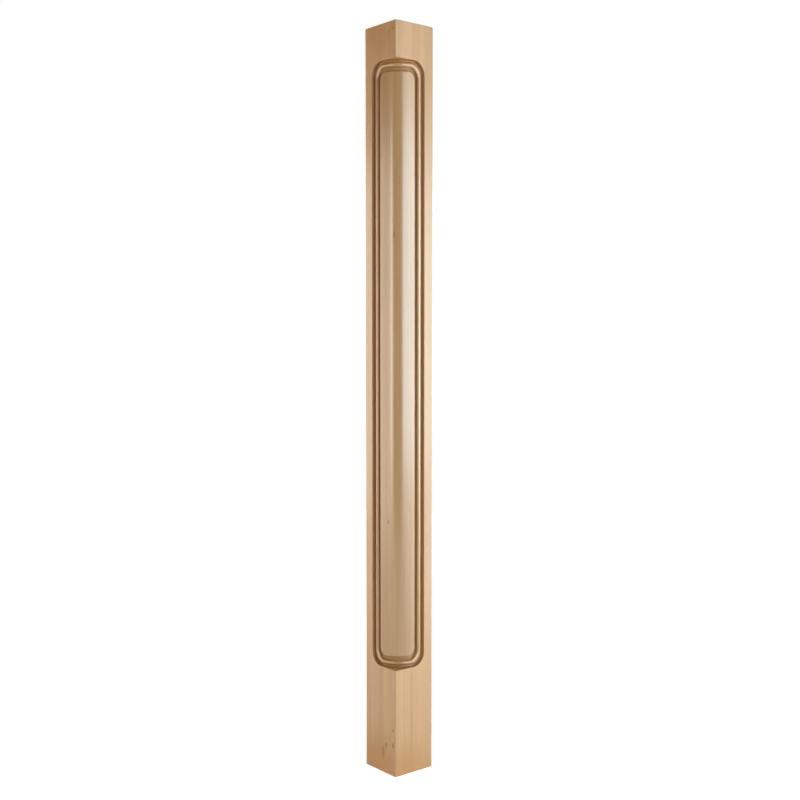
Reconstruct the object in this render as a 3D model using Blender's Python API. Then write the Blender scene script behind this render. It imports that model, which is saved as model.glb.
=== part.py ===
"""Corner post of solid maple, upright on the floor, one piece of wood.

The post is square. Its front arris, at +X and -Y, is carved between a plain head and a plain foot into a quarter
column, framed by a ring of quirk, bead and flute that wraps round the corner. The faces at -X and +Y are plain.
The origin is at the middle of the underside. Everything is in metres, with +Z up.
"""

import math

import bmesh
import bpy
from mathutils import Matrix, Vector

# Post
SIDE = 0.05715  # width of each face
HEIGHT = 0.8890  # length of the post, from the floor up
EASE = 0.0008  # round on the post's outer arrises

# Plain square blocks above and below the carving
HEAD = 0.0423
FOOT = 0.1286

# Carving, from the faces' flat strips in to the column
MARGIN = 0.0128  # flat strip on each carved face, from its back edge to the ring
QUIRK_WIDTH = 0.0026  # narrow groove outside the bead
BEAD_RADIUS = 0.0028
FLUTE_WIDTH = 0.0054  # wide groove between the bead and the column
GROOVE_SAG = 0.0008  # how far the grooves' hollow floors lie below the bead's foot
BEAD_DROP = 0.0022  # how far the bead's crest lies below the post's faces
COLUMN_DROP = 0.0018  # how far the column lies below the rounded corner that ends in the post's faces
RING_CORNER = 0.0160  # radius at the four corners of the ring's outer edge
COLUMN_CORNER = 0.0095  # radius at the four corners of the column's outline

# Facets
CORNER_FACETS = 8  # round each corner of the ring
CROSSING_FACETS = 14  # along the ring where it crosses the arris
BEAD_FACETS = 8
GROOVE_FACETS = 4
COLUMN_FACETS = 6  # from the column's edge to its middle
EASE_FACETS = 2
SHARPEST_ROUND = math.radians(40)  # facets that meet at less than this are shaded as one round

# Worked out from the sizes above
RING_WIDTH = QUIRK_WIDTH + 2 * BEAD_RADIUS + FLUTE_WIDTH
CORNER_RADIUS = SIDE - MARGIN - RING_WIDTH  # round of the corner, before the carving's drops
QUARTER_TURN = math.pi / 2
HALF_ROUND = CORNER_RADIUS * QUARTER_TURN / 2
HALF_SPREAD = HALF_ROUND + RING_WIDTH
CARVING_BOTTOM = FOOT
CARVING_TOP = HEIGHT - HEAD
BEAD_FOOT = BEAD_DROP + BEAD_RADIUS  # depth at which the bead meets its grooves
CUTTER_LIFT = CORNER_RADIUS  # how far the cutter stands out of the wood

MAPLE_COLOUR = (0.60, 0.42, 0.26, 1.0)
MAPLE_ROUGHNESS = 0.45


def clear_scene():
    """Remove every object of the scene."""
    for item in list(bpy.data.objects):
        bpy.data.objects.remove(item, do_unlink=True)


def maple():
    """Clear satin maple."""
    material = bpy.data.materials.new("maple")
    material.use_nodes = True
    shader = material.node_tree.nodes["Principled BSDF"]
    shader.inputs["Base Color"].default_value = MAPLE_COLOUR
    shader.inputs["Roughness"].default_value = MAPLE_ROUGHNESS
    shader.inputs["Metallic"].default_value = 0.0
    return material


def add_object(name, body):
    """A scene object of this bmesh."""
    mesh_data = bpy.data.meshes.new(name)
    body.to_mesh(mesh_data)
    body.free()
    item = bpy.data.objects.new(name, mesh_data)
    bpy.context.scene.collection.objects.link(item)
    return item


def on_corner(across, height, depth):
    """Point at this depth below the rounded corner.

    across is measured along the rounded corner and on along the flat faces, from 0 on the corner's middle line,
    positive towards +Y on the +X face and negative towards -X on the -Y face.
    """
    turn = max(-QUARTER_TURN / 2, min(QUARTER_TURN / 2, across / CORNER_RADIUS))
    along_flat = across - CORNER_RADIUS * turn
    facing = turn - QUARTER_TURN / 2
    outward = Vector((math.cos(facing), math.sin(facing), 0))
    sideways = Vector((-math.sin(facing), math.cos(facing), 0))
    centre = Vector((SIDE / 2 - CORNER_RADIUS, CORNER_RADIUS - SIDE / 2, height))
    return centre + outward * (CORNER_RADIUS - depth) + sideways * along_flat


def corner_radius(inset):
    """Radius at the corners of the carving's outline, drawn in by inset.

    It goes evenly from the ring's corner to the column's over the ring's width. Over the column the outlines stay
    concentric, down to a sharp corner.
    """
    share = min(inset / RING_WIDTH, 1)
    radius = RING_CORNER + (COLUMN_CORNER - RING_CORNER) * share
    return max(radius - max(inset - RING_WIDTH, 0), 0)


def outline(inset):
    """The carving's rounded rectangle, drawn in by inset, as (across, height) pairs, counter-clockwise from outside.

    Each corner is a quarter circle, and the two ends have points along them, because they bend round the arris.
    """
    radius = corner_radius(inset)
    half = HALF_SPREAD - inset - radius
    top = CARVING_TOP - inset - radius
    bottom = CARVING_BOTTOM + inset + radius
    corners = ((half, top), (-half, top), (-half, bottom), (half, bottom))
    points = []
    for number, (across, height) in enumerate(corners):
        for step in range(CORNER_FACETS + 1):
            angle = QUARTER_TURN * (number + step / CORNER_FACETS)
            points.append((across + radius * math.cos(angle), height + radius * math.sin(angle)))
        if number % 2 == 0:
            end = points[-1][1]
            for step in range(1, CROSSING_FACETS):
                points.append((across * (1 - 2 * step / CROSSING_FACETS), end))
    return points


def half_round(start, width, rise, facets):
    """(inset, depth) pairs over a half ellipse on the level of the bead's foot, hollow where rise is below zero."""
    pairs = []
    for step in range(facets + 1):
        angle = math.pi * step / facets
        pairs.append((start + width / 2 * (1 - math.cos(angle)), BEAD_FOOT - rise * math.sin(angle)))
    return pairs


def carving_profile():
    """(inset, depth) pairs from the foot of the ring's outer wall in to the column's middle line."""
    quirk = half_round(0, QUIRK_WIDTH, -GROOVE_SAG, GROOVE_FACETS)
    bead = half_round(QUIRK_WIDTH, 2 * BEAD_RADIUS, BEAD_RADIUS, BEAD_FACETS)
    flute = half_round(RING_WIDTH - FLUTE_WIDTH, FLUTE_WIDTH, -GROOVE_SAG, GROOVE_FACETS)
    column = []
    for step in range(COLUMN_FACETS + 1):
        column.append((RING_WIDTH + HALF_ROUND * step / COLUMN_FACETS, COLUMN_DROP))
    return quirk + bead[1:] + flute[1:] + column


def carving_cutter():
    """The closed body of wood and air that the carving takes away from the post.

    Its floor is the carved surface and its wall stands square to the post's faces at the ring's outer edge.
    """
    rows = [(HALF_SPREAD, -CUTTER_LIFT), (0, -CUTTER_LIFT)] + carving_profile()
    body = bmesh.new()
    loops = []
    for inset, depth in rows:
        loops.append([body.verts.new(on_corner(*point, depth)) for point in outline(inset)])
    for upper, lower in zip(loops, loops[1:]):
        for here in range(len(upper)):
            after = (here + 1) % len(upper)
            body.faces.new((upper[here], upper[after], lower[after], lower[here]))
    bmesh.ops.remove_doubles(body, verts=body.verts, dist=1e-6)
    bmesh.ops.recalc_face_normals(body, faces=body.faces)
    cutter = add_object("carving_cutter", body)
    cutter.data.shade_smooth()
    cutter.data.set_sharp_from_angle(angle=SHARPEST_ROUND)
    cutter.hide_render = True
    cutter.display_type = "WIRE"
    return cutter


def corner_post():
    """The square post with eased arrises, carved at its front corner."""
    body = bmesh.new()
    stand = Matrix.Translation((0, 0, HEIGHT / 2)) @ Matrix.Diagonal((SIDE, SIDE, HEIGHT, 1))
    bmesh.ops.create_cube(body, size=1, matrix=stand)
    post = add_object("corner_post", body)
    post.data.materials.append(maple())

    easing = post.modifiers.new("eased arrises", "BEVEL")
    easing.width = EASE
    easing.segments = EASE_FACETS

    carving = post.modifiers.new("carved corner", "BOOLEAN")
    carving.operation = "DIFFERENCE"
    carving.solver = "EXACT"
    carving.object = carving_cutter()
    return post


def main():
    """Build the post."""
    clear_scene()
    corner_post()


if __name__ == "__main__":
    main()
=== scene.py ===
"""Looks of a carved corner post of clear, satin maple, standing on a pale studio floor.

The post's fine surface is worked out with numpy from the same sizes as its solid. It is one closed grid of
loops, from the middle line of the quarter column out over the ring, the faces and the eased arrises to the
hidden back arris. Everything is in metres, with +Z up, and the carved arris at +X and -Y.
"""

import math

import bmesh
import bpy
import numpy as np
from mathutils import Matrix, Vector


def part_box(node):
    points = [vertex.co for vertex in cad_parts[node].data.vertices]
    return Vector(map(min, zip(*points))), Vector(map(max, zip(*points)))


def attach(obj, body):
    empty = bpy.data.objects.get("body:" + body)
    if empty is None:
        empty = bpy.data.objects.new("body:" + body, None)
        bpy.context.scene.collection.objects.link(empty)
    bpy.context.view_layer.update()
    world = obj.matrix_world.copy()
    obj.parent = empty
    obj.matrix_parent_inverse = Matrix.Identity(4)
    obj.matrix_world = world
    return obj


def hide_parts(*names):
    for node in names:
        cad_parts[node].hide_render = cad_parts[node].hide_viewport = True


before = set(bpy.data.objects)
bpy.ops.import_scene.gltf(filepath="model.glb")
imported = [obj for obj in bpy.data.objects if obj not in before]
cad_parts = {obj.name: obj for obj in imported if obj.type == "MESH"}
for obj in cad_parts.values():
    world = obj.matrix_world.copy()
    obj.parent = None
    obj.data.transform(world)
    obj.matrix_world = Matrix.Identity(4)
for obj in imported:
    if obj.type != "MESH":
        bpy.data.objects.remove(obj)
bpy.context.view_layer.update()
POST_LOW, POST_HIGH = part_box("corner_post")

bl_info = {
    "name": "Carved corner post",
    "version": (1, 0, 0),
    "blender": (4, 5, 0),
    "location": "View3D > Sidebar > Corner post",
    "description": "Builds a carved maple corner post and the studio that it stands in",
    "category": "Add Mesh",
}

QUARTER_TURN = math.pi / 2
MERGE_DISTANCE = 1e-7

# Steps of the fine surface, around each loop
ARC_STEPS = 10  # on each half of a ring corner
OCTANT_STEPS = 5  # round each corner of the post's ends
ARRIS_STEPS = 8  # over the eased arris
CROSSING_STEPS = 28  # on each side of the arris, where the ring crosses it
SIDE_STEPS = 64  # up and down the long sides

# Steps of the fine surface, from the column's middle line outwards
COLUMN_STEPS = 24
ROUND_STEPS = 6
GROOVE_STEPS = 12
BEAD_STEPS = 18
WALL_STEPS = 4
FACE_STEPS = 14
BACK_STEPS = 8
HOLD = 0.03  # first and last step over a face, as a share of its width, which hold the shading at its edges

# Steps of the floor
FLOOR_RINGS = 16
FLOOR_SPOKES = 64

# Painted shade in the carving's hollows: the wood is darkened by depth, standing in for the grooves' shadow
PAINTED_SHADE_START = 0.0032  # depth at which the wood begins to darken
PAINTED_SHADE_FULL = 0.0054  # depth at which it is darkest
WALL_PAINTED_SHADE = 0.85  # shade at the foot of the ring's outer wall, as a share of the quirk's

# How level a surface is, from 0 upright to 1, where end grain begins to show and where it shows in full
END_START, END_FULL = 0.15, 0.85

# Growth rings
WAVER_SCALE = (40.0, 40.0, 5.0)  # scale of the slow noise that wavers them
RING_UNEVENNESS = 2.6  # rings by which noise moves the count back and forth
LATE_START, LATE_FULL, LATE_END = 0.25, 0.90, 0.92  # the late wood's line, as shares of a ring's width

# Streaks along the grain: scale across, scale along and detail
FINE_FIBRES = (1400.0, 30.0, 3.0)
NARROW_STREAKS = (380.0, 5.0, 2.0)
BROAD_STREAKS = (120.0, 3.0, 2.0)

# How far each pattern carries the wood from its pale colour, at 0, to its dark one, at 1
BASE_TONE = 0.16
LATE_TONE = 0.10
BAND_TONE = 0.30
FINE_TONE = 0.6
NARROW_TONE = 0.7
BROAD_TONE = 1.5

# Flecks and specks
FLECK_EDGE = 0.06  # rise of the noise over which a fleck fades in
FLECK_CORE = 0.3  # share of their reach inside which flecks are not faded
FLECK_STRENGTH = 0.30
SPECK_RIM, SPECK_CORE = 1.1, 0.3  # where a speck ends and where it is full, as shares of its size
SPECK_FRAY = 0.9  # how far noise frays a speck's rim
MARK_SHADE = 0.7  # how far flecks and specks dull the finish

# Clear finish
FULL_COAT = 0.92  # weight of the finish on flat, clean wood
COAT_GRAIN = 0.20  # how far the fine fibres change that weight
COAT_LOSS = 2.4  # weight lost where the wood is shaded in full
ROUGHNESS_GRAIN = 0.16  # how far the fine fibres change the wood's roughness
ROUGHNESS_GAIN = 0.3  # roughness added where the wood is shaded in full
RING_RELIEF = 0.12  # height of the late wood's lines, against that of the fibres

# Floor
FLOOR_UNEVENNESS = 0.015  # how much darker the floor's darkest places are
BLEACH_START, BLEACH_FULL = 0.10, 0.70  # distances from the post between which the floor bleaches to white

# Single specks in the wood: place, half its width, half its length along the grain, and strength
SPECKS = (
    ((0.0238, -0.0286, 0.0555), 0.0021, 0.0032, 0.60),
    ((0.0238, -0.0286, 0.0367), 0.0020, 0.0050, 0.85),
    ((0.0108, -0.0286, 0.0342), 0.0020, 0.0048, 0.75),
    ((0.0050, -0.0286, 0.0250), 0.0030, 0.0100, 0.40),
    ((0.0170, -0.0286, 0.0450), 0.0014, 0.0090, 0.30),
    ((0.0240, -0.0286, 0.8800), 0.0024, 0.0022, 0.70),
    ((0.0172, -0.0286, 0.8766), 0.0021, 0.0021, 0.65),
    ((0.0165, -0.0286, 0.8721), 0.0013, 0.0048, 0.45),
    ((0.0157, -0.0202, 0.6439), 0.0014, 0.0046, 0.70),
    ((0.0095, -0.0240, 0.3041), 0.0017, 0.0032, 0.50),
)

# Darker, browner patches on both faces of the foot and the left face of the head, in the same terms
PATCHES = (
    ((0.0000, -0.0286, 0.0000), 0.0430, 0.0600, 1.00),
    ((0.0286, 0.0000, 0.0000), 0.0300, 0.0400, 0.55),
    ((-0.0060, -0.0286, 0.8740), 0.0240, 0.0300, 0.50),
)

# Soft boxes: name, direction in degrees from -Y to +X, distance, height, width, upright size and colour
SOFT_BOXES = (
    ("left_box", -20, 1.50, 0.50, 2.72, 0.98, (1.0, 0.95, 0.86)),
    ("left_strip", 14, 1.45, 0.62, 0.22, 0.8, (1.0, 0.98, 0.95)),
    ("far_left_box", -78, 1.50, 0.60, 0.70, 1.18, (1.0, 0.92, 0.80)),
    ("right_box", 99, 1.50, 0.70, 1.88, 1.6, (0.96, 1.0, 1.0)),
    ("far_right_box", 150, 1.50, 0.46, 0.70, 0.9, (0.94, 0.97, 0.93)),
    ("right_strip", 98, 1.45, 0.62, 1.80, 0.85, (0.58, 0.82, 1.0)),
)


class PostSizes(bpy.types.PropertyGroup):
    """Sizes of the square post."""

    side: bpy.props.FloatProperty(
        name="Side", description="Width of each face",
        default=POST_HIGH.x - POST_LOW.x, min=0.03, unit="LENGTH")
    height: bpy.props.FloatProperty(
        name="Height", description="Length of the post, from the floor up",
        default=POST_HIGH.z - POST_LOW.z, min=0.3, unit="LENGTH")
    easing: bpy.props.FloatProperty(
        name="Easing", description="Round on the post's outer arrises",
        default=0.0008, min=0.0001, unit="LENGTH")
    head: bpy.props.FloatProperty(
        name="Head", description="Plain square block above the carving",
        default=0.0423, min=0.0, unit="LENGTH")
    foot: bpy.props.FloatProperty(
        name="Foot", description="Plain square block below the carving",
        default=0.1286, min=0.0, unit="LENGTH")


class CarvingSizes(bpy.types.PropertyGroup):
    """Sizes of the carving, from the faces' flat strips in to the column, and the painted shade in its
    grooves.
    """

    margin: bpy.props.FloatProperty(
        name="Margin", description="Flat strip between the ring and each face's back edge",
        default=0.0128, min=0.0, unit="LENGTH")
    quirk_width: bpy.props.FloatProperty(
        name="Quirk", description="Width of the narrow groove outside the bead",
        default=0.0026, min=0.0005, unit="LENGTH")
    bead_radius: bpy.props.FloatProperty(
        name="Bead", description="Radius of the bead", default=0.0028, min=0.0005, unit="LENGTH")
    flute_width: bpy.props.FloatProperty(
        name="Flute", description="Width of the groove between the bead and the column",
        default=0.0054, min=0.0005, unit="LENGTH")
    groove_sag: bpy.props.FloatProperty(
        name="Sag", description="How far the grooves' hollow floors lie below the bead's foot",
        default=0.0008, min=0.0, unit="LENGTH")
    bead_drop: bpy.props.FloatProperty(
        name="Bead drop", description="How far the bead's crest lies below the faces",
        default=0.0022, min=0.0, unit="LENGTH")
    column_drop: bpy.props.FloatProperty(
        name="Column drop", description="How far the column lies below the rounded corner",
        default=0.0018, min=0.0, unit="LENGTH")
    ring_corner: bpy.props.FloatProperty(
        name="Ring corner", description="Radius at the corners of the ring's outer edge",
        default=0.0160, min=0.0, unit="LENGTH")
    column_corner: bpy.props.FloatProperty(
        name="Column corner", description="Radius at the corners of the column's outline",
        default=0.0095, min=0.0, unit="LENGTH")
    # Painted shade: the flute's painted shade is lighter where the ring runs level, at its top and bottom
    flute_fade: bpy.props.FloatProperty(
        name="Flute fade",
        description="How much lighter the flute's shade is at the ring's top and bottom",
        default=0.55, min=0, max=1, subtype="FACTOR")
    # Painted shade: the quirk gets a lighter painted shade than the flute
    quirk_fade: bpy.props.FloatProperty(
        name="Quirk fade", description="How much lighter the quirk is shaded than the flute",
        default=0.64, min=0, max=1, subtype="FACTOR")
    edge_round: bpy.props.FloatProperty(
        name="Edge round", description="Small round where the cutter leaves the faces and the column",
        default=0.0004, min=0.0001, unit="LENGTH")


class MapleLooks(bpy.types.PropertyGroup):
    """Colours and grain of the maple."""

    pale: bpy.props.FloatVectorProperty(
        name="Early wood", description="Colour of the pale wood", subtype="COLOR", size=3,
        default=(0.74, 0.403, 0.157), min=0, max=1)
    dark: bpy.props.FloatVectorProperty(
        name="Late wood", description="Colour of the thin lines between growth rings", subtype="COLOR",
        size=3, default=(0.58, 0.290, 0.098), min=0, max=1)
    # Colour of the darker patches at the foot and head
    warm: bpy.props.FloatVectorProperty(
        name="Warm wood", description="Colour of the browner patches", subtype="COLOR", size=3,
        default=(0.60, 0.265, 0.058), min=0, max=1)
    fleck: bpy.props.FloatVectorProperty(
        name="Fleck", description="Colour of the small dark flecks", subtype="COLOR", size=3,
        default=(0.24, 0.092, 0.020), min=0, max=1)
    # Painted shade: the colour that the grooves are darkened to, standing in for their shadow
    groove: bpy.props.FloatVectorProperty(
        name="Groove", description="Colour of the wood deep in the grooves", subtype="COLOR", size=3,
        default=(0.23, 0.110, 0.034), min=0, max=1)
    end_shade: bpy.props.FloatProperty(
        name="End grain", description="How much darker the wood is where it is cut across the grain",
        default=0.35, min=0, max=1, subtype="FACTOR")
    # Painted shade: how far the grooves are darkened towards that colour
    painted_groove_shade: bpy.props.FloatProperty(
        name="Hollow shade", description="How much darker the wood is in the bottoms of the grooves",
        default=0.88, min=0, max=1, subtype="FACTOR")
    ring_spacing: bpy.props.FloatProperty(
        name="Ring spacing", description="Distance between growth rings", default=0.0032, min=0.0005,
        unit="LENGTH")
    roughness: bpy.props.FloatProperty(
        name="Roughness", description="Roughness of the bare wood", default=0.45, min=0, max=1,
        subtype="FACTOR")
    sheen_roughness: bpy.props.FloatProperty(
        name="Finish roughness", description="Roughness of the clear satin finish", default=0.20, min=0,
        max=1, subtype="FACTOR")
    sheen_index: bpy.props.FloatProperty(
        name="Finish index",
        description="Index of refraction of the clear finish, for the strength of its sheen",
        default=2.4, min=1, max=3)


class StudioSettings(bpy.types.PropertyGroup):
    """The floor, lights and camera."""

    floor_colour: bpy.props.FloatVectorProperty(
        name="Floor", description="Colour of the floor", subtype="COLOR", size=3,
        default=(0.86, 0.855, 0.845), min=0, max=1)
    floor_reach: bpy.props.FloatProperty(
        name="Floor reach", description="Radius of the round floor", default=2.0, min=0.5, unit="LENGTH")
    floor_glow: bpy.props.FloatProperty(
        name="Floor glow", description="How far the floor near the post is bleached to white",
        default=0.66, min=0, max=1, subtype="FACTOR")
    ambient: bpy.props.FloatProperty(
        name="Ambient", description="Strength of the white room's light", default=0.06, min=0)
    left_box: bpy.props.FloatProperty(
        name="Left box", description="Power of the soft box in front of the left face",
        default=10.2, unit="POWER")
    left_strip: bpy.props.FloatProperty(
        name="Left strip", description="Power of the narrow box at the left box's near edge",
        default=1.05, unit="POWER")
    far_left_box: bpy.props.FloatProperty(
        name="Far left box", description="Power of the soft box that grazes the left face",
        default=18.0, unit="POWER")
    right_box: bpy.props.FloatProperty(
        name="Right box", description="Power of the soft box in front of the right face",
        default=8.6, unit="POWER")
    far_right_box: bpy.props.FloatProperty(
        name="Far right box", description="Power of the soft box that grazes the right face",
        default=16.5, unit="POWER")
    right_strip: bpy.props.FloatProperty(
        name="Right strip", description="Power of the low, cool box in front of the right box",
        default=8.6, unit="POWER")
    camera_azimuth: bpy.props.FloatProperty(
        name="Azimuth", description="Direction of the camera, from -Y towards +X",
        default=math.radians(50.70), subtype="ANGLE")
    camera_tilt: bpy.props.FloatProperty(
        name="Tilt", description="How far the camera looks down", default=math.radians(3.20),
        subtype="ANGLE")
    camera_distance: bpy.props.FloatProperty(
        name="Distance", description="Distance of the camera from the post's axis", default=1.3882,
        unit="LENGTH")
    camera_height: bpy.props.FloatProperty(
        name="Height", description="Height of the camera above the floor", default=0.5260, unit="LENGTH")
    camera_aside: bpy.props.FloatProperty(
        name="Aside", description="How far the camera stands to its right of the post's axis",
        default=0.00127, unit="LENGTH")
    lens: bpy.props.FloatProperty(
        name="Lens", description="Focal length", default=51.94, unit="CAMERA")


# Shape of the post

class Corner:
    """The carved corner, unrolled: across runs along the rounded corner and on along the flat faces.

    across is 0 on the corner's middle line, positive towards +Y on the +X face and negative towards -X on
    the -Y face. depth is measured inwards from the rounded corner, which ends in the faces.
    """

    def __init__(self, post, carving):
        self.post = post
        self.carving = carving
        self.ring_width = carving.quirk_width + 2 * carving.bead_radius + carving.flute_width
        self.radius = post.side - carving.margin - self.ring_width
        self.half_round = self.radius * QUARTER_TURN / 2
        self.half_spread = self.half_round + self.ring_width
        self.half_crossing = self.half_spread - carving.ring_corner
        self.bead_foot = carving.bead_drop + carving.bead_radius
        self.easing_reach = (self.radius - post.easing) * math.sqrt(2)

    def corner_radius(self, inset):
        """Radius at the corners of the loop that lies this far inside the ring's outer edge.

        It goes evenly from the ring's corner to the column's over the ring's width. Outside the ring and
        over the column the loops stay concentric, down to a sharp corner.
        """
        carving = self.carving
        share = min(max(inset / self.ring_width, 0), 1)
        radius = carving.ring_corner + (carving.column_corner - carving.ring_corner) * share
        return max(radius - min(inset, 0) - max(inset - self.ring_width, 0), 0)

    def arris_across(self, turn):
        """across of the points of the eased arris whose normals are turned this far from its middle.

        They lie on a circle of the easing's radius, seen from the rounded corner's axis.
        """
        easing = self.post.easing
        return self.radius * np.arctan2(easing * np.sin(turn), self.easing_reach + easing * np.cos(turn))

    def lift(self, across):
        """How far the square post's surface stands out from the rounded corner.

        On a face this is the radius over the cosine of the angle to the face's normal, less the radius.
        Over the eased arris it is the far crossing of a line from the axis with the easing's circle.
        """
        angle = np.minimum(np.abs(across) / self.radius, QUARTER_TURN / 2)
        flat = self.radius / np.cos(QUARTER_TURN / 2 - angle)
        offset = self.easing_reach * np.sin(angle)
        inside = np.maximum(self.post.easing ** 2 - offset ** 2, 0)
        rounded = self.easing_reach * np.cos(angle) + np.sqrt(inside)
        ends = self.arris_across(QUARTER_TURN / 2) / self.radius
        return np.where(angle < ends, rounded, flat) - self.radius

    def normal(self, across):
        """The square post's outward normal, which turns over the eased arris only."""
        angle = np.clip(across / self.radius, -QUARTER_TURN / 2, QUARTER_TURN / 2)
        sine = np.clip(self.easing_reach * np.sin(angle) / self.post.easing, -1, 1)
        turn = np.clip(angle + np.arcsin(sine), -QUARTER_TURN / 2, QUARTER_TURN / 2)
        facing = turn - QUARTER_TURN / 2
        return np.stack((np.cos(facing), np.sin(facing), np.zeros_like(facing)), axis=-1)

    def points(self, across, height, depth):
        """Points of the carved corner: a turn about the corner's axis, and then straight along the face."""
        turn = np.clip(across / self.radius, -QUARTER_TURN / 2, QUARTER_TURN / 2)
        along_flat = across - self.radius * turn
        facing = turn - QUARTER_TURN / 2
        reach = self.radius - depth
        centre = self.post.side / 2 - self.radius
        x = centre + np.cos(facing) * reach - np.sin(facing) * along_flat
        y = -centre + np.sin(facing) * reach + np.cos(facing) * along_flat
        return np.stack((x, y, height), axis=-1)


def loop_plan(corner):
    """Where the points of every loop stand: arrays of angle, sweep, crossing and side.

    A loop runs counter-clockwise, seen from outside, through four quarter circles. angle is the place on
    such a circle. Its middle point is repeated, so that sweep can turn it round a corner of the post's ends.
    After the first circle and the third the ring crosses the arris, and crossing is the place from 1 to -1
    along it, with the eased arris in its middle. side runs from 1 to -1 along the long sides, after the
    second circle and the fourth.
    """
    rising = np.linspace(0, QUARTER_TURN / 2, ARC_STEPS + 1)
    middle = np.full(OCTANT_STEPS, QUARTER_TURN / 2)
    angle = np.concatenate((rising, middle, QUARTER_TURN - rising[-2::-1]))
    sweep = np.concatenate((
        np.zeros(ARC_STEPS + 1), np.linspace(0, QUARTER_TURN, OCTANT_STEPS + 1)[1:],
        np.full(ARC_STEPS, QUARTER_TURN)))
    turn = np.linspace(QUARTER_TURN / 2, 0, ARRIS_STEPS // 2 + 1)
    arris = corner.arris_across(turn) / corner.half_crossing
    outer = np.linspace(1, arris[0], CROSSING_STEPS + 1)[1:-1]
    half = np.concatenate((outer, arris))
    crossing = np.concatenate((half, -half[-2::-1]))
    side = np.linspace(1, -1, SIDE_STEPS + 1)[1:-1]
    return {"angle": angle, "sweep": sweep, "crossing": crossing, "side": side}


def build_loop(corner, plan, inset):
    """across and height of the rounded rectangle that lies this far inside the ring's outer edge."""
    post = corner.post
    radius = corner.corner_radius(inset)
    half = corner.half_spread - inset - radius
    top = post.height - post.head - inset - radius
    bottom = post.foot + inset + radius
    cosine, sine = radius * np.cos(plan["angle"]), radius * np.sin(plan["angle"])
    middle, reach = (top + bottom) / 2, (top - bottom) / 2
    down = middle + reach * plan["side"]
    level = np.ones_like(plan["crossing"])
    across = np.concatenate((
        half + cosine, half * plan["crossing"], -half - sine, np.full_like(down, -half - radius),
        -half - cosine, -half * plan["crossing"], half + sine, np.full_like(down, half + radius)))
    height = np.concatenate((
        top + sine, (top + radius) * level, top + cosine, down,
        bottom - sine, (bottom - radius) * level, bottom - cosine, down[::-1]))
    return across, height


def border_loop(corner, plan):
    """across and height of the loop along the two carved faces' outer edges, inside their easing.

    Points over the quarter circles are carried out to the rectangle's sides along lines from the circles'
    centres, by the tangent or the cotangent of their angle. The others go straight out.
    """
    post = corner.post
    half = corner.half_crossing
    ring_corner = corner.carving.ring_corner
    top = post.height - post.head - ring_corner
    bottom = post.foot + ring_corner
    widest = corner.half_round + post.side - corner.radius - post.easing
    highest, lowest = post.height - post.easing, post.easing
    out = np.minimum(1, np.tan(QUARTER_TURN - plan["angle"]))
    up = np.minimum(1, np.tan(plan["angle"]))
    down = (top + bottom) / 2 + (top - bottom) / 2 * plan["side"]
    level = np.ones_like(plan["crossing"])
    across = np.concatenate((
        half + (widest - half) * out, half * plan["crossing"], -half - (widest - half) * up,
        np.full_like(down, -widest), -half - (widest - half) * out, -half * plan["crossing"],
        half + (widest - half) * up, np.full_like(down, widest)))
    height = np.concatenate((
        top + (highest - top) * up, highest * level, top + (highest - top) * out, down,
        bottom - (bottom - lowest) * up, lowest * level, bottom - (bottom - lowest) * out, down[::-1]))
    return across, height


def outward(plan):
    """The direction, square to the front faces, in which each point of the border loop leaves them.

    It is +Y on the right side, +Z along the top, -X on the left and -Z along the bottom. It sweeps through
    a quarter turn at the middle of each corner.
    """
    right, up, left = np.array((0, 1, 0)), np.array((0, 0, 1)), np.array((-1, 0, 0))
    turns = ((right, up), (up, left), (left, -up), (-up, right))
    runs = (plan["crossing"], plan["side"], plan["crossing"], plan["side"])
    sweep = plan["sweep"][:, None]
    parts = []
    for (start, end), run in zip(turns, runs):
        parts.append(np.cos(sweep) * start + np.sin(sweep) * end)
        parts.append(np.tile(end, (len(run), 1)))
    return np.concatenate(parts)


def quarter_round(steps):
    """run and rise over a quarter circle of radius 1 that starts level and ends upright."""
    angle = np.linspace(0, QUARTER_TURN, steps + 1)
    return np.sin(angle), 1 - np.cos(angle)


def half_ellipse(start, end, level, rise, steps):
    """inset and depth over a half ellipse between two insets, raised above this level, or hollow below it.

    inset goes with the cosine and depth with the sine of an angle from 0 to half a turn. rise is negative
    for a hollow.
    """
    angle = np.linspace(0, math.pi, steps + 1)
    return (start + end) / 2 + (start - end) / 2 * np.cos(angle), level - rise * np.sin(angle)


def carving_rows(corner):
    """inset and depth of the loops from the column's middle line out to the foot of the ring's wall."""
    carving = corner.carving
    edge, drop, foot = carving.edge_round, carving.column_drop, corner.bead_foot
    column = np.linspace(corner.ring_width + corner.half_round, corner.ring_width + edge, COLUMN_STEPS + 1)
    run, rise = quarter_round(ROUND_STEPS)
    wall = np.linspace(drop + edge, foot, WALL_STEPS + 1)[1:-1]
    bead_start = carving.quirk_width + 2 * carving.bead_radius
    pieces = [
        (column, np.full_like(column, drop)),
        (corner.ring_width + edge - edge * run[1:], drop + edge * rise[1:]),
        (np.full_like(wall, corner.ring_width), wall),
        half_ellipse(corner.ring_width, bead_start, foot, -carving.groove_sag, GROOVE_STEPS),
        tuple(row[1:] for row in half_ellipse(
            bead_start, carving.quirk_width, foot, carving.bead_radius, BEAD_STEPS)),
        tuple(row[1:] for row in half_ellipse(
            carving.quirk_width, 0, foot, -carving.groove_sag, GROOVE_STEPS)),
    ]
    return np.concatenate([piece[0] for piece in pieces]), np.concatenate([piece[1] for piece in pieces])


def spread(steps):
    """Shares from 0 to 1, with one short step at each end to hold the shading there."""
    return np.concatenate(((0, HOLD), np.linspace(0, 1, steps)[1:-1], (1 - HOLD, 1)))


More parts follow.
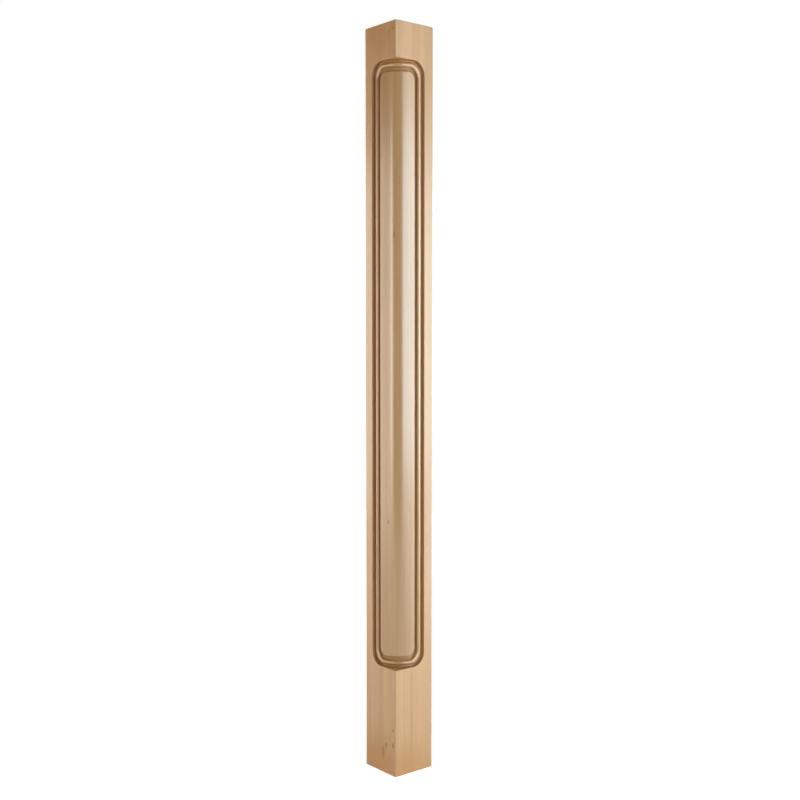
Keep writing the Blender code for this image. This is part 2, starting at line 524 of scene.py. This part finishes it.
def smooth_step(value, low, high):
    """0 below low and 1 above high, with a smooth rise between them: 3 t squared less 2 t cubed."""
    share = np.clip((value - low) / (high - low), 0, 1)
    return share * share * (3 - 2 * share)


def along_ends(plan):
    """How far each point of a loop belongs to the ring's top and bottom: 1 there, 0 on the sides.

    It follows the squared sine or cosine of the angle round the corners.
    """
    rising, falling = np.sin(plan["angle"]) ** 2, np.cos(plan["angle"]) ** 2
    level, side = np.ones_like(plan["crossing"]), np.zeros_like(plan["side"])
    half = np.concatenate((rising, level, falling, side))
    return np.concatenate((half, half))


def back_loops(post, border, normal, away):
    """Points of the loops over the easing, the ends and back faces, and half of the back arris.

    They start at the border's points, whose normals are given. away is the direction in which each leaves
    the front faces. Each turns a quarter circle of the easing's radius about its core, goes straight to the
    line of the back arris, and turns on to the middle of that arris, where the last loop's halves meet.
    """
    core = border - post.easing * normal
    inner = post.side / 2 - post.easing
    back = np.where((1, 1, 0), np.array((-inner, inner, 0)), core)
    loops = []
    for angle in np.linspace(0, QUARTER_TURN, ROUND_STEPS + 1)[1:]:
        loops.append(core + post.easing * (math.cos(angle) * normal + math.sin(angle) * away))
    for share in spread(BACK_STEPS)[1:]:
        loops.append(core + (back - core) * share + post.easing * away)
    mirrored = np.stack((-away[:, 1], -away[:, 0], away[:, 2]), axis=-1)
    for share in np.linspace(0, 0.5, ROUND_STEPS // 2 + 1)[1:]:
        turned = away + (mirrored - away) * share
        turned /= np.linalg.norm(turned, axis=-1, keepdims=True)
        loops.append(back + post.easing * turned)
    return loops


def post_surface(post, carving):
    """Points of the whole post as an array of loops, and how much painted shade each gets in the carving's
    hollows.

    The loops follow each other over the column, the flute, the bead, the quirk, the ring's wall and the
    carved faces, and then round the back.
    """
    corner = Corner(post, carving)
    plan = loop_plan(corner)
    ends = along_ends(plan)
    plain = np.zeros_like(ends)
    points, hollows = [], []

    def add(across, height, depth, hollow):
        points.append(corner.points(across, height, depth))
        hollows.append(hollow)

    # Painted shade: loops darken with their depth in the grooves, less in the quirk and where the flute runs
    # level at the ring's top and bottom
    for inset, depth in zip(*carving_rows(corner)):
        across, height = build_loop(corner, plan, inset)
        fade = np.where(inset > carving.quirk_width, carving.flute_fade * ends, carving.quirk_fade)
        hollow = smooth_step(depth, PAINTED_SHADE_START, PAINTED_SHADE_FULL) * (1 - fade)
        add(across, height, np.full_like(across, depth), hollow)

    edge = carving.edge_round
    across, height = build_loop(corner, plan, 0)
    rim = edge - corner.lift(across)
    # Painted shade on the ring's outer wall, fading out towards the faces
    for share in np.linspace(0, 1, WALL_STEPS + 1)[1:]:
        depth = corner.bead_foot + (rim - corner.bead_foot) * share
        hollow = WALL_PAINTED_SHADE * (1 - share ** 2) * (1 - carving.quirk_fade)
        add(across, height, depth, np.full_like(ends, hollow))
    for run, rise in list(zip(*quarter_round(ROUND_STEPS)))[1:]:
        across, height = build_loop(corner, plan, -edge * rise)
        add(across, height, edge * (1 - run) - corner.lift(across), plain)

    border_across, border_height = border_loop(corner, plan)
    for share in spread(FACE_STEPS)[1:]:
        between = across + (border_across - across) * share
        add(between, height + (border_height - height) * share, -corner.lift(between), plain)

    points.extend(back_loops(post, points[-1], corner.normal(border_across), outward(plan)))
    hollows.extend([plain] * (len(points) - len(hollows)))
    return np.array(points), np.array(hollows)


def loops_to_mesh(name, points, values):
    """A closed mesh of the loops, each point with its painted groove shade in the attribute hollow.

    Each face joins two neighbours of a loop with the same two of the next. Points that meet are merged.
    """
    rows, columns = points.shape[:2]
    here = np.arange(rows * columns).reshape(rows, columns)
    after = np.roll(here, -1, axis=1)
    quads = np.stack((here[:-1], here[1:], after[1:], after[:-1]), axis=-1).reshape(-1, 4)
    mesh = bpy.data.meshes.new(name)
    mesh.from_pydata(points.reshape(-1, 3), [], quads.tolist())
    # Painted shade of the grooves, read by the maple material
    hollow = mesh.attributes.new("hollow", "FLOAT", "POINT")
    hollow.data.foreach_set("value", values.astype(np.float32).ravel())
    body = bmesh.new()
    body.from_mesh(mesh)
    bmesh.ops.remove_doubles(body, verts=body.verts, dist=MERGE_DISTANCE)
    bmesh.ops.dissolve_degenerate(body, edges=body.edges, dist=MERGE_DISTANCE)
    bmesh.ops.recalc_face_normals(body, faces=body.faces)
    body.to_mesh(mesh)
    body.free()
    mesh.shade_smooth()
    return mesh


# Node helpers

# Sockets of a Mix node for colours
MIX_FACTOR, MIX_FIRST, MIX_SECOND, MIX_RESULT = 0, 6, 7, 2


def add_node(tree, kind, inputs=None, **settings):
    """A node of this kind, with its options set and its inputs given values or links."""
    made = tree.nodes.new(kind)
    made.location = (180 * (len(tree.nodes) % 8), -260 * (len(tree.nodes) // 8))
    for name, value in settings.items():
        setattr(made, name, value)
    for name, value in (inputs or {}).items():
        if isinstance(value, bpy.types.NodeSocket):
            tree.links.new(value, made.inputs[name])
        else:
            made.inputs[name].default_value = value
    return made


def maths(tree, operation, first, second=0.0, third=0.0, clamp=False):
    """The result of one Math node."""
    return add_node(
        tree, "ShaderNodeMath", {0: first, 1: second, 2: third}, operation=operation,
        use_clamp=clamp).outputs[0]


def ramp(tree, value, low, high, out_low=0.0, out_high=1.0):
    """value carried smoothly from low..high to out_low..out_high."""
    return add_node(
        tree, "ShaderNodeMapRange",
        {"Value": value, "From Min": low, "From Max": high, "To Min": out_low, "To Max": out_high},
        interpolation_type="SMOOTHSTEP").outputs["Result"]


def mix_colours(tree, factor, first, second):
    """Two colours mixed by a factor."""
    inputs = {MIX_FACTOR: factor, MIX_FIRST: first, MIX_SECOND: second}
    return add_node(tree, "ShaderNodeMix", inputs, data_type="RGBA").outputs[MIX_RESULT]


def vary(tree, base, noise_value, amount):
    """base, and this amount of how far the noise stands above 0.5."""
    return maths(tree, "MULTIPLY_ADD", maths(tree, "SUBTRACT", noise_value, 0.5), amount, base)


def vector_maths(tree, operation, first, second=(0.0, 0.0, 0.0), output="Vector"):
    """The result of one Vector Math node: its Vector or its Value."""
    return add_node(tree, "ShaderNodeVectorMath", {0: first, 1: second}, operation=operation).outputs[output]


def noise(tree, vector, scale=1.0, detail=2.0, roughness=0.5):
    """Noise between 0 and 1."""
    inputs = {"Vector": vector, "Scale": scale, "Detail": detail, "Roughness": roughness}
    return add_node(tree, "ShaderNodeTexNoise", inputs).outputs["Fac"]


def drawn_noise(tree, entry, detail, roughness=0.5):
    """Noise drawn out along the grain, by a group's own inputs Vector, Across and Along."""
    scale = add_node(
        tree, "ShaderNodeCombineXYZ", {"X": entry["Across"], "Y": entry["Across"], "Z": entry["Along"]})
    drawn = vector_maths(tree, "MULTIPLY", entry["Vector"], scale.outputs["Vector"])
    return noise(tree, drawn, detail=detail, roughness=roughness)


def new_group(name, inputs, outputs):
    """An empty shader node group. Each input is a name, a kind and a default, and each output a name."""
    tree = bpy.data.node_groups.new(name, "ShaderNodeTree")
    for label, kind, default in inputs:
        socket = tree.interface.new_socket(label, in_out="INPUT", socket_type=kind)
        if default is not None:
            socket.default_value = default
    for label in outputs:
        tree.interface.new_socket(label, in_out="OUTPUT", socket_type="NodeSocketFloat")
    entry = tree.nodes.new("NodeGroupInput")
    leave = tree.nodes.new("NodeGroupOutput")
    return tree, entry.outputs, leave.inputs


def place_group(tree, group, inputs):
    """A copy of a node group in a material, with its own values and links."""
    return add_node(tree, "ShaderNodeGroup", inputs, node_tree=group)


# Maple

def growth_rings_group():
    """Growth rings about a leaning pith line.

    The distance from the pith line, wavered by slow noise, is counted in rings of uneven width. Each ring is
    pale for most of its width and darkens to a thin line of late wood, by an amount of its own. Band is a
    broad wave of the same distance, with a crest at Crest, over many rings.
    """
    tree, entry, leave = new_group("Growth rings", (
        ("Vector", "NodeSocketVector", None),
        ("Pith", "NodeSocketVector", (0.017, 0.09, 0.0)),
        ("Lean", "NodeSocketVector", (0.0, 0.010, 1.0)),
        ("Spacing", "NodeSocketFloat", 0.003),
        ("Waver", "NodeSocketFloat", 0.003),
        ("Band Width", "NodeSocketFloat", 0.027),
        ("Crest", "NodeSocketFloat", 0.098),
    ), ("Late Wood", "Band"))
    height = add_node(tree, "ShaderNodeSeparateXYZ", {"Vector": entry["Vector"]}).outputs["Z"]
    lean = add_node(tree, "ShaderNodeVectorMath", {0: entry["Lean"], "Scale": height}, operation="SCALE")
    axis = vector_maths(tree, "ADD", entry["Pith"], lean.outputs["Vector"])
    slow = noise(tree, vector_maths(tree, "MULTIPLY", entry["Vector"], WAVER_SCALE))
    radius = vector_maths(tree, "DISTANCE", entry["Vector"], axis, output="Value")
    wavered = vary(tree, radius, slow, entry["Waver"])
    even = maths(tree, "DIVIDE", wavered, entry["Spacing"])
    uneven = add_node(
        tree, "ShaderNodeTexNoise", {"W": even, "Scale": 0.6, "Detail": 1.0}, noise_dimensions="1D")
    count = maths(tree, "MULTIPLY_ADD", uneven.outputs["Fac"], RING_UNEVENNESS, even)
    share = maths(tree, "FRACT", count)
    line = maths(
        tree, "MULTIPLY", ramp(tree, share, LATE_START, LATE_FULL), ramp(tree, share, 1.0, LATE_END))
    own = add_node(
        tree, "ShaderNodeTexWhiteNoise", {"W": maths(tree, "FLOOR", count)}, noise_dimensions="1D")
    tree.links.new(maths(tree, "MULTIPLY", line, own.outputs["Value"]), leave["Late Wood"])
    past_crest = maths(tree, "SUBTRACT", wavered, entry["Crest"])
    turn = maths(tree, "MULTIPLY", maths(tree, "DIVIDE", past_crest, entry["Band Width"]), 2 * math.pi)
    tree.links.new(maths(tree, "MULTIPLY_ADD", maths(tree, "COSINE", turn), 0.5, 0.5), leave["Band"])
    return tree


def fibres_group():
    """Fine fibre lines: noise drawn out along the grain, between 0 and 1 about 0.5."""
    tree, entry, leave = new_group("Fibres", (
        ("Vector", "NodeSocketVector", None),
        ("Across", "NodeSocketFloat", 900.0),
        ("Along", "NodeSocketFloat", 20.0),
        ("Detail", "NodeSocketFloat", 3.0),
    ), ("Fac",))
    tree.links.new(drawn_noise(tree, entry, entry["Detail"], roughness=0.55), leave["Fac"])
    return tree


def flecks_group():
    """Short dark flecks along the grain, inside a soft ball about one place.

    They are the peaks of noise drawn out along the grain, times a ramp that falls with the distance from
    the place.
    """
    tree, entry, leave = new_group("Flecks", (
        ("Vector", "NodeSocketVector", None),
        ("Place", "NodeSocketVector", (0.0, 0.0, 0.0)),
        ("Reach", "NodeSocketFloat", 0.01),
        ("Across", "NodeSocketFloat", 700.0),
        ("Along", "NodeSocketFloat", 160.0),
        ("Threshold", "NodeSocketFloat", 0.6),
    ), ("Mask",))
    above = maths(tree, "SUBTRACT", drawn_noise(tree, entry, 2.0), entry["Threshold"])
    peaks = ramp(tree, above, 0.0, FLECK_EDGE)
    away = vector_maths(tree, "DISTANCE", entry["Vector"], entry["Place"], output="Value")
    nearness = ramp(tree, maths(tree, "DIVIDE", away, entry["Reach"]), 1.0, FLECK_CORE)
    tree.links.new(maths(tree, "MULTIPLY", peaks, nearness), leave["Mask"])
    return tree


def speck_group():
    """One small dark speck: a soft ball, stretched to Size, that noise frays at its rim."""
    tree, entry, leave = new_group("Speck", (
        ("Vector", "NodeSocketVector", None),
        ("Place", "NodeSocketVector", (0.0, 0.0, 0.0)),
        ("Size", "NodeSocketVector", (0.001, 0.001, 0.002)),
        ("Strength", "NodeSocketFloat", 0.6),
    ), ("Mask",))
    away = vector_maths(tree, "SUBTRACT", entry["Vector"], entry["Place"])
    scaled = vector_maths(tree, "DIVIDE", away, entry["Size"])
    reach = vector_maths(tree, "LENGTH", scaled, output="Value")
    frayed = vary(tree, reach, noise(tree, scaled, scale=1.1), SPECK_FRAY)
    full = ramp(tree, frayed, SPECK_RIM, SPECK_CORE)
    tree.links.new(maths(tree, "MULTIPLY", full, entry["Strength"]), leave["Mask"])
    return tree


def speck_mask(tree, group, position, row):
    """Mask of one row of the specks or the patches."""
    place, wide, tall, strength = row
    placed = place_group(tree, group, {
        "Vector": position, "Place": place, "Size": (wide, wide, tall), "Strength": strength})
    return placed.outputs["Mask"]


def opaque(colour):
    """A colour with full alpha."""
    return tuple(colour) + (1.0,)


def new_material(name):
    """A new material, its node tree and its shader."""
    material = bpy.data.materials.new(name)
    material.use_nodes = True
    return material, material.node_tree, material.node_tree.nodes["Principled BSDF"]


def maple_material(looks, post):
    """Clear maple under a thin satin finish, darker on end grain, with painted shade darkening the hollows
    of the carving and taking the finish's sheen away there.
    """
    material, tree, shader = new_material("satin_maple")
    coordinates = add_node(tree, "ShaderNodeTexCoord").outputs
    position = coordinates["Object"]
    rings = place_group(tree, growth_rings_group(), {"Vector": position, "Spacing": looks.ring_spacing})
    fibres = fibres_group()
    fine, narrow, broad = (
        place_group(tree, fibres, {
            "Vector": position, "Across": across, "Along": along, "Detail": detail}).outputs["Fac"]
        for across, along, detail in (FINE_FIBRES, NARROW_STREAKS, BROAD_STREAKS))
    tone = maths(tree, "MULTIPLY_ADD", rings.outputs["Late Wood"], LATE_TONE, BASE_TONE)
    tone = vary(tree, tone, narrow, NARROW_TONE)
    tone = maths(tree, "MULTIPLY_ADD", rings.outputs["Band"], BAND_TONE, tone)
    tone = vary(tree, tone, broad, BROAD_TONE)
    tone = vary(tree, tone, fine, FINE_TONE)
    wood = mix_colours(tree, tone, opaque(looks.pale), opaque(looks.dark))

    speck = speck_group()
    for row in PATCHES:
        wood = mix_colours(tree, speck_mask(tree, speck, position, row), wood, opaque(looks.warm))
    sparse = place_group(tree, flecks_group(), {
        "Vector": position, "Place": (0.0, 0.0, post.height / 2), "Reach": 10.0, "Across": 900.0,
        "Along": 130.0, "Threshold": 0.70})
    marks = maths(tree, "MULTIPLY", sparse.outputs["Mask"], FLECK_STRENGTH)
    for row in SPECKS:
        marks = maths(tree, "MAXIMUM", marks, speck_mask(tree, speck, position, row))
    marked = mix_colours(tree, marks, wood, opaque(looks.fleck))

    upright = add_node(tree, "ShaderNodeSeparateXYZ", {"Vector": coordinates["Normal"]}).outputs["Z"]
    end_grain = ramp(tree, maths(tree, "ABSOLUTE", upright), END_START, END_FULL, 0.0, looks.end_shade)
    # Painted shade: the grooves are darkened towards the groove colour by the mesh's hollow attribute
    hollow = add_node(tree, "ShaderNodeAttribute", attribute_name="hollow").outputs["Fac"]
    painted_shade = maths(tree, "MULTIPLY", hollow, looks.painted_groove_shade)
    carved = mix_colours(tree, painted_shade, marked, opaque(looks.groove))
    tree.links.new(mix_colours(tree, end_grain, carved, opaque(looks.fleck)), shader.inputs["Base Color"])

    # Painted shade in the grooves, with the real end grain and marks, also roughens the wood and takes its
    # finish away
    shade = maths(tree, "MAXIMUM", end_grain, painted_shade)
    shade = maths(tree, "MAXIMUM", shade, maths(tree, "MULTIPLY", marks, MARK_SHADE))
    gloss = vary(tree, looks.roughness, fine, ROUGHNESS_GRAIN)
    tree.links.new(maths(tree, "MULTIPLY_ADD", shade, ROUGHNESS_GAIN, gloss), shader.inputs["Roughness"])
    clear = vary(tree, FULL_COAT, fine, COAT_GRAIN)
    coat = maths(tree, "MULTIPLY_ADD", shade, -COAT_LOSS, clear, clamp=True)
    tree.links.new(coat, shader.inputs["Coat Weight"])
    shader.inputs["Coat Roughness"].default_value = looks.sheen_roughness
    shader.inputs["Coat IOR"].default_value = looks.sheen_index
    relief = maths(tree, "MULTIPLY_ADD", rings.outputs["Late Wood"], RING_RELIEF, fine)
    bump = add_node(tree, "ShaderNodeBump", {"Height": relief, "Strength": 0.25, "Distance": 0.00006})
    tree.links.new(bump.outputs["Normal"], shader.inputs["Normal"])
    return material


class CORNER_POST_OT_post(bpy.types.Operator):
    """Build the carved post in maple"""

    bl_idname = "corner_post.post"
    bl_label = "Carved post"
    bl_options = {"REGISTER", "UNDO"}

    def execute(self, context):
        scene = context.scene
        points, hollows = post_surface(scene.corner_post_sizes, scene.corner_post_carving)
        mesh = loops_to_mesh("maple_corner_post", points, hollows)
        post = bpy.data.objects.new("maple_corner_post", mesh)
        scene.collection.objects.link(post)
        mesh.materials.append(maple_material(scene.corner_post_looks, scene.corner_post_sizes))
        shading = post.modifiers.new("flat faces", "WEIGHTED_NORMAL")
        shading.keep_sharp = True
        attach(post, "root")
        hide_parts("corner_post")
        return {"FINISHED"}


# Studio

def add_soft_box(name, azimuth, distance, height, width, tall, power, colour):
    """A rectangular light that faces the post's axis, level, from this direction."""
    light = bpy.data.lights.new(name, "AREA")
    light.shape = "RECTANGLE"
    light.size = width
    light.size_y = tall
    light.energy = power
    light.color = colour
    box = bpy.data.objects.new(name, light)
    box.location = (math.sin(azimuth) * distance, -math.cos(azimuth) * distance, height)
    box.rotation_euler = (QUARTER_TURN, 0, azimuth)
    bpy.context.scene.collection.objects.link(box)


def disc(radius, rings, spokes):
    """A level disc on the floor: circles about the origin, whose radii go with their numbers squared."""
    radii = radius * (np.arange(1, rings + 1) / rings) ** 2
    turn = np.linspace(0, 4 * QUARTER_TURN, spokes, endpoint=False)
    x, y = np.outer(radii, np.cos(turn)), np.outer(radii, np.sin(turn))
    points = np.concatenate((np.zeros((1, 3)), np.stack((x, y, np.zeros_like(x)), axis=-1).reshape(-1, 3)))
    here = 1 + np.arange(rings * spokes).reshape(rings, spokes)
    after = np.roll(here, -1, axis=1)
    quads = np.stack((here[:-1], here[1:], after[1:], after[:-1]), axis=-1).reshape(-1, 4)
    middle = np.stack((np.zeros(spokes, int), here[0], after[0]), axis=-1)
    mesh = bpy.data.meshes.new("floor")
    mesh.from_pydata(points, [], middle.tolist() + quads.tolist())
    return mesh


def floor_material(colour, glow):
    """Pale matt paper with a trace of unevenness, bleached to white where it is seen far from the post."""
    material, tree, shader = new_material("studio_floor")
    position = add_node(tree, "ShaderNodeTexCoord").outputs["Object"]
    shaded = opaque((1 - FLOOR_UNEVENNESS) * part for part in colour)
    patchy = mix_colours(tree, noise(tree, position, scale=3.0, detail=3.0), shaded, opaque(colour))
    tree.links.new(patchy, shader.inputs["Base Color"])
    shader.inputs["Roughness"].default_value = 0.9
    shader.inputs["Specular IOR Level"].default_value = 0.2
    away = vector_maths(tree, "LENGTH", position, output="Value")
    seen = add_node(tree, "ShaderNodeLightPath").outputs["Is Camera Ray"]
    bleach = maths(tree, "MULTIPLY", ramp(tree, away, BLEACH_START, BLEACH_FULL, glow, 1.0), seen)
    tree.links.new(bleach, shader.inputs["Emission Strength"])
    shader.inputs["Emission Color"].default_value = (1.0, 1.0, 1.0, 1.0)
    return material


def studio_world(ambient):
    """A white room: pure white where it is seen, and dimmer as a light."""
    world = bpy.data.worlds.new("white_room")
    world.use_nodes = True
    tree = world.node_tree
    shader = tree.nodes["Background"]
    seen = add_node(tree, "ShaderNodeLightPath").outputs["Is Camera Ray"]
    strength = add_node(
        tree, "ShaderNodeMapRange", {"Value": seen, "To Min": ambient, "To Max": 1.0}).outputs["Result"]
    tree.links.new(strength, shader.inputs["Strength"])
    shader.inputs["Color"].default_value = (1.0, 1.0, 1.0, 1.0)
    return world


class CORNER_POST_OT_studio(bpy.types.Operator):
    """Set the floor, the lights and the camera"""

    bl_idname = "corner_post.studio"
    bl_label = "Studio"
    bl_options = {"REGISTER", "UNDO"}

    def execute(self, context):
        scene = context.scene
        studio = scene.corner_post_studio
        mesh = disc(studio.floor_reach, FLOOR_RINGS, FLOOR_SPOKES)
        mesh.materials.append(floor_material(studio.floor_colour, studio.floor_glow))
        floor = bpy.data.objects.new("floor", mesh)
        scene.collection.objects.link(floor)
        scene.world = studio_world(studio.ambient)
        for name, degrees, distance, height, width, tall, colour in SOFT_BOXES:
            power = getattr(studio, name)
            add_soft_box(name, math.radians(degrees), distance, height, width, tall, power, colour)
        camera = bpy.data.objects.new("camera", bpy.data.cameras.new("camera"))
        azimuth = studio.camera_azimuth
        back = Vector((math.sin(azimuth), -math.cos(azimuth), 0))
        aside = Vector((math.cos(azimuth), math.sin(azimuth), 0))
        camera.location = back * studio.camera_distance + aside * studio.camera_aside
        camera.location.z = studio.camera_height
        camera.rotation_euler = (QUARTER_TURN - studio.camera_tilt, 0, azimuth)
        camera.data.lens = studio.lens
        scene.collection.objects.link(camera)
        scene.camera = camera
        scene.view_settings.view_transform = "Standard"
        return {"FINISHED"}


class CORNER_POST_PT_sidebar(bpy.types.Panel):
    """The post's sizes and looks, and the buttons that build it"""

    bl_idname = "CORNER_POST_PT_sidebar"
    bl_label = "Corner post"
    bl_space_type = "VIEW_3D"
    bl_region_type = "UI"
    bl_category = "Corner post"

    def draw(self, context):
        layout = self.layout
        scene = context.scene
        for settings in (scene.corner_post_sizes, scene.corner_post_carving, scene.corner_post_looks):
            box = layout.box()
            for name in settings.__annotations__:
                box.prop(settings, name)
        layout.operator(CORNER_POST_OT_post.bl_idname)
        box = layout.box()
        for name in scene.corner_post_studio.__annotations__:
            box.prop(scene.corner_post_studio, name)
        layout.operator(CORNER_POST_OT_studio.bl_idname)


SETTINGS = {
    "corner_post_sizes": PostSizes,
    "corner_post_carving": CarvingSizes,
    "corner_post_looks": MapleLooks,
    "corner_post_studio": StudioSettings,
}
CLASSES = (*SETTINGS.values(), CORNER_POST_OT_post, CORNER_POST_OT_studio, CORNER_POST_PT_sidebar)


def register():
    """Register the classes and give the scene its settings."""
    for item in CLASSES:
        bpy.utils.register_class(item)
    for name, settings in SETTINGS.items():
        setattr(bpy.types.Scene, name, bpy.props.PointerProperty(type=settings))


def unregister():
    """Take the settings and the classes away again."""
    for name in SETTINGS:
        delattr(bpy.types.Scene, name)
    for item in reversed(CLASSES):
        bpy.utils.unregister_class(item)


def main():
    """Build everything."""
    register()
    bpy.ops.corner_post.post()
    bpy.ops.corner_post.studio()


if __name__ == "__main__":
    main()
